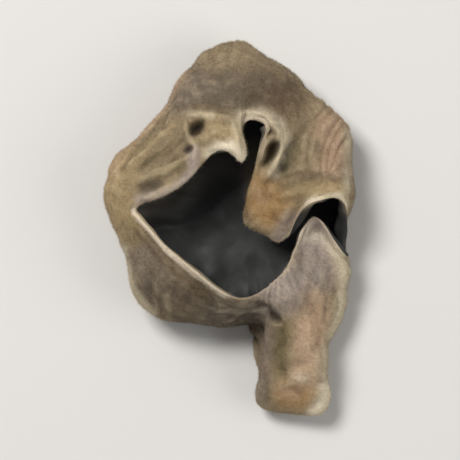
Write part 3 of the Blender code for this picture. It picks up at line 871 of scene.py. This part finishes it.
# %% [markdown]
# ## Dried smooth flesh
# The inner side bore the spores. Dry, it is a very dark brown-grey with the dull gloss of horn, because it
# dried smooth and hard. The eye finds faint veins and a fine grain in it, and grey patches of spores here
# and there. In two stretches it is painted paler, as painted light inside the cup. The grain is drawn
# coarser than it is, so that it shows.

# %% The smooth side
PATCH, VEIN_GAP, GRAIN = 5, 1.1, 0.12  # mm


def smooth_dried_flesh():
    """Near-black smooth flesh: spore patches, painted light, a pale rubbed rim, low veins and a fine grain.
    """
    material = new_material("smooth_dried_flesh")
    spot = add(material, "TexCoord").outputs["Object"]
    patches = add(material, "TexNoise", Vector=spot, Scale=PER_MM / PATCH, Detail=5, Roughness=0.65)
    dusted = add(material, "MapRange", Value=patches.outputs["Fac"], From_Min=0.35, From_Max=0.7).outputs[0]
    # painted light: the smooth side painted paler where the inside of the cup would be lit
    painted_light = add(material, "Attribute", {"attribute_name": "painted_light"}).outputs["Fac"]
    rim = add(material, "Attribute", {"attribute_name": "rim"}).outputs["Fac"]
    base = linear("#1f1f1d")
    for share, code in ((dusted, "#2f2f2d"), (painted_light, "#8a7c6a"), (rim, "#9a8a6e")):
        base = add(material, "Mix", COLOURS, _0=share, _6=base, _7=linear(code)).outputs[2]
    cells = {"Vector": spot, "Scale": PER_MM / VEIN_GAP, "Smoothness": 0.6}
    veins = add(material, "TexVoronoi", {"feature": "SMOOTH_F1"}, **cells).outputs["Distance"]
    grain = add(material, "TexNoise", Vector=spot, Scale=PER_MM / GRAIN, Detail=2).outputs["Fac"]
    low = add(material, "Bump", Strength=0.3, Distance=0.10 * MM, Height=veins).outputs["Normal"]
    fine = add(material, "Bump", Strength=0.3, Distance=0.02 * MM, Height=grain, Normal=low).outputs["Normal"]
    return shade(material, Base_Color=base, Roughness=0.58, Specular_IOR_Level=0.35, Normal=fine)


flesh_finish = smooth_dried_flesh()

# %% [markdown]
# ## The sheet as one piece
# The real sheet is one piece of flesh, so both sides are one object with two materials, and it takes the
# place of the solid. A face belongs to the smooth side where all its points do, or nearly.

# %% The finished sheet
SMOOTH_UNDER = 0.3  # of felt

skin.materials.clear()
skin.materials.append(felt_finish)
skin.materials.append(flesh_finish)
corners = read(skin.loops, "vertex_index", kind=int)
smooth_side = felt[corners].reshape(-1, 4).max(axis=1) < SMOOTH_UNDER
skin.polygons.foreach_set("material_index", smooth_side.astype(int))
skin.shade_smooth()
wood_ear = new_object("wood_ear_sheet", skin)
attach(wood_ear, "root")
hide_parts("wood_ear")
print("felt faces:", int((~smooth_side).sum()), "smooth faces:", int(smooth_side.sum()))

# %% [markdown]
# ## The nap
# Each hair of the felt is a fraction of a millimetre long and far thinner than a pixel here, so the hairs
# are drawn thicker and fewer than they are, and each is a cone of three sides. Hair curves would be no mesh
# that others could use. Copying the whole heap doubles it, so sixteen copies make 65,536 hairs. The short
# hairs and the long ones are a heap each, which keeps both meshes small.

# %% A heap of hairs
HAIR_DOUBLINGS = 16
HAIR_WIDTH = 0.022  # mm


def heap_of_hairs():
    """Hairs of length 1 along +Z, all in one place, with a layer that tells them apart."""
    heap = bmesh.new()
    bmesh.ops.create_cone(heap, cap_ends=False, segments=3, radius1=1, radius2=0, depth=1)
    bmesh.ops.remove_doubles(heap, verts=heap.verts[:], dist=1e-4)
    bmesh.ops.translate(heap, vec=(0, 0, 0.5), verts=heap.verts[:])
    which = heap.verts.layers.int.new("which")
    for doubling in range(HAIR_DOUBLINGS):
        whole = heap.verts[:] + heap.edges[:] + heap.faces[:]
        for vert in points_among(bmesh.ops.duplicate(heap, geom=whole)):
            vert[which] += 2**doubling
    mesh = bpy.data.meshes.new("heap_of_hairs")
    heap.to_mesh(mesh)
    heap.free()
    return mesh


heap = heap_of_hairs()
hair = read(heap.vertices, "co", 3)
which = read(heap.attributes["which"].data, "value", kind=int)
hair_count = which.max() + 1
print(hair_count, "hairs to a heap")

# %% [markdown]
# ## Where the hairs stand
# Felt is as dense on a large face as on a small one, so a face is drawn for each hair by its area, and a
# place on that face by chance. The seed makes the draws the same in each run. The part that the mushroom
# rests on is worn bare.

# %% Places for the hairs
BARE_UNDER = 0.05  # mm over the table
chance = np.random.default_rng(7)
quads = corners.reshape(-1, 4)[~smooth_side]
quads = quads[place[quads, 2].min(axis=1) > BARE_UNDER]
a, b, c, d = (place[quads[:, k]] for k in range(4))
area = np.linalg.norm(np.cross(c - a, d - b), axis=1) / 2


def random_roots():
    """Places on the felt: the corners of the face that each hair stands on, and how much it has of each."""
    chosen = quads[chance.choice(len(quads), hair_count, p=area / area.sum())]
    across, along = chance.random((2, hair_count))
    weight = ((1 - across) * (1 - along), across * (1 - along), across * along, (1 - across) * along)
    return chosen, np.stack(weight, axis=1)[:, :, None]


def at_root(values, roots):
    """Values of the skin's points, read where each hair stands."""
    chosen, weight = roots
    return (values[chosen] * weight).sum(axis=1)


print(round(hair_count / area.sum(), 1), "hairs of each heap to a square millimetre")

# %% [markdown]
# ## Dry hair
# The hair of a wood ear is thin-walled chitin, dried dull and full of dust. To the eye it has the colour of
# the felt and hardly a highlight, so it shares the felt's colours and is only a little less rough.

# %% The hair's finish
def dry_hair():
    """Dry hair in the felt's colours."""
    material = new_material("dry_hair")
    return shade(material, Base_Color=felt_colour(material), Roughness=0.8, Specular_IOR_Level=0.15)


hair_finish = dry_hair()

# %% [markdown]
# ## The hairs stood on the felt
# Each hair is scaled to its length, leaned over this way and that as matted hair is, and set on the felt.
# None points into the flesh, and none reaches under the table. It copies the values of the felt under it,
# and each hair is a little darker or paler than the next.

# %% Stand the hairs on the felt
NAPS = (("short_nap", 0.10, 0.22), ("long_nap", 0.22, 0.34))  # the shortest and the longest hair in mm
STAND, SCATTER, LEAST_STAND = 0.55, 0.55, 0.15  # pull outwards, pull aside, and how flat a hair may lie
SHADES = (0.75, 1.35)  # of the darkest and the palest hair


def nap(name, shortest, longest):
    """A heap of hairs stood on the felt and leaned over this way and that, in the colours under them."""
    roots = random_roots()
    stand = at_root(outward, roots)
    lean = stand * STAND + chance.normal(size=(hair_count, 3)) * SCATTER
    lean /= np.linalg.norm(lean, axis=1)[:, None]
    lean += stand * np.maximum(LEAST_STAND - (lean * stand).sum(axis=1), 0)[:, None]
    side = np.cross(lean, chance.normal(size=(hair_count, 3)))
    side /= np.linalg.norm(side, axis=1)[:, None]
    back = np.cross(lean, side)
    frames = np.stack((side * HAIR_WIDTH / 2, back * HAIR_WIDTH / 2, lean), axis=1)
    frames[:, 2] *= chance.uniform(shortest, longest, (hair_count, 1))
    spot = at_root(place, roots)[which] + (hair[:, :, None] * frames[which]).sum(axis=1)
    spot[:, 2] = np.maximum(spot[:, 2], 0)
    mesh = heap.copy()
    mesh.name = name
    mesh.vertices.foreach_set("co", (spot * MM).ravel())
    mesh.update()
    for key, values in felt_values.items():
        store(mesh, key, at_root(values[:, None], roots)[which, 0])
    store(mesh, "tone", (at_root(tone, roots) * chance.uniform(*SHADES, (hair_count, 1)))[which])
    mesh.materials.append(hair_finish)
    return new_object(name, mesh)


for name, shortest, longest in NAPS:
    hairs = nap(name, shortest, longest)
    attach(hairs, "root")
    print(name, "of", len(hairs.data.polygons), "faces")
bpy.data.meshes.remove(heap)

# %% [markdown]
# ## The table
# The piece stands on a plain pale board. Painted board is matt: it shows soft shadows and no reflection,
# and throws light back up under the piece. It lies a little lower than the piece, so that the two never
# share a plane.

# %% A pale board
TABLE_REACH = 0.6
TABLE_GAP = 0.02  # mm

top = bmesh.new()
bmesh.ops.create_grid(top, x_segments=1, y_segments=1, size=TABLE_REACH)
bmesh.ops.translate(top, vec=(0, 0, -TABLE_GAP * MM), verts=top.verts[:])
top_mesh = bpy.data.meshes.new("table_top")
top.to_mesh(top_mesh)
top.free()
top_mesh.materials.append(shade(new_material("matt_board"), Base_Color=linear("#cfccc7"), Roughness=0.8))
table = new_object("table_top", top_mesh)
print("table top:", 2 * TABLE_REACH, "m across")

# %% [markdown]
# ## Lamps and sky
# A large soft lamp at the upper left gives the shading, and a weaker one on the right opens the shadows. A
# faint pale sky fills the rest, so that the inside of the cup isn't quite black.

# %% Light it
LAMPS = (  # name, place, size and watts
    ("key_lamp", (-0.15, 0.17, 0.36), 0.14, 1.75),
    ("fill_lamp", (0.32, -0.06, 0.26), 0.30, 0.6),
)
SKY_COLOUR, SKY_STRENGTH = "#f2f4f7", 0.3
for name, spot, size, power in LAMPS:
    light = bpy.data.lights.new(name, "AREA")
    light.size = size
    light.energy = power
    lamp = new_object(name, light)
    lamp.location = spot
    lamp.rotation_euler = (-Vector(spot)).to_track_quat("-Z", "Y").to_euler()
world = bpy.data.worlds.new("studio")
bpy.context.scene.world = world
world.use_nodes = True
sky = world.node_tree.nodes["Background"]
sky.inputs["Color"].default_value = linear(SKY_COLOUR)
sky.inputs["Strength"].default_value = SKY_STRENGTH
print(len(LAMPS), "lamps and a sky of", SKY_STRENGTH)

# %% [markdown]
# ## The camera
# The picture looks straight down on the piece, as a new camera already does. A long lens from far away
# keeps the sides of the piece parallel.

# %% Look straight down
VIEW_WIDTH = 0.0455
VIEW_MIDDLE = (0.0004, -0.0010, 0.006)
CAMERA_AWAY = 0.40
FILM_WIDTH = 36  # mm
NEAREST = 0.01
lens = bpy.data.cameras.new("camera")
lens.sensor_width = FILM_WIDTH
lens.lens = FILM_WIDTH * CAMERA_AWAY / VIEW_WIDTH
lens.clip_start = NEAREST
camera = new_object("camera", lens)
camera.location = Vector(VIEW_MIDDLE) + Vector((0, 0, CAMERA_AWAY))
bpy.context.scene.camera = camera
bpy.context.scene.view_settings.view_transform = "Standard"
print("lens:", round(lens.lens), "mm at", CAMERA_AWAY, "m")
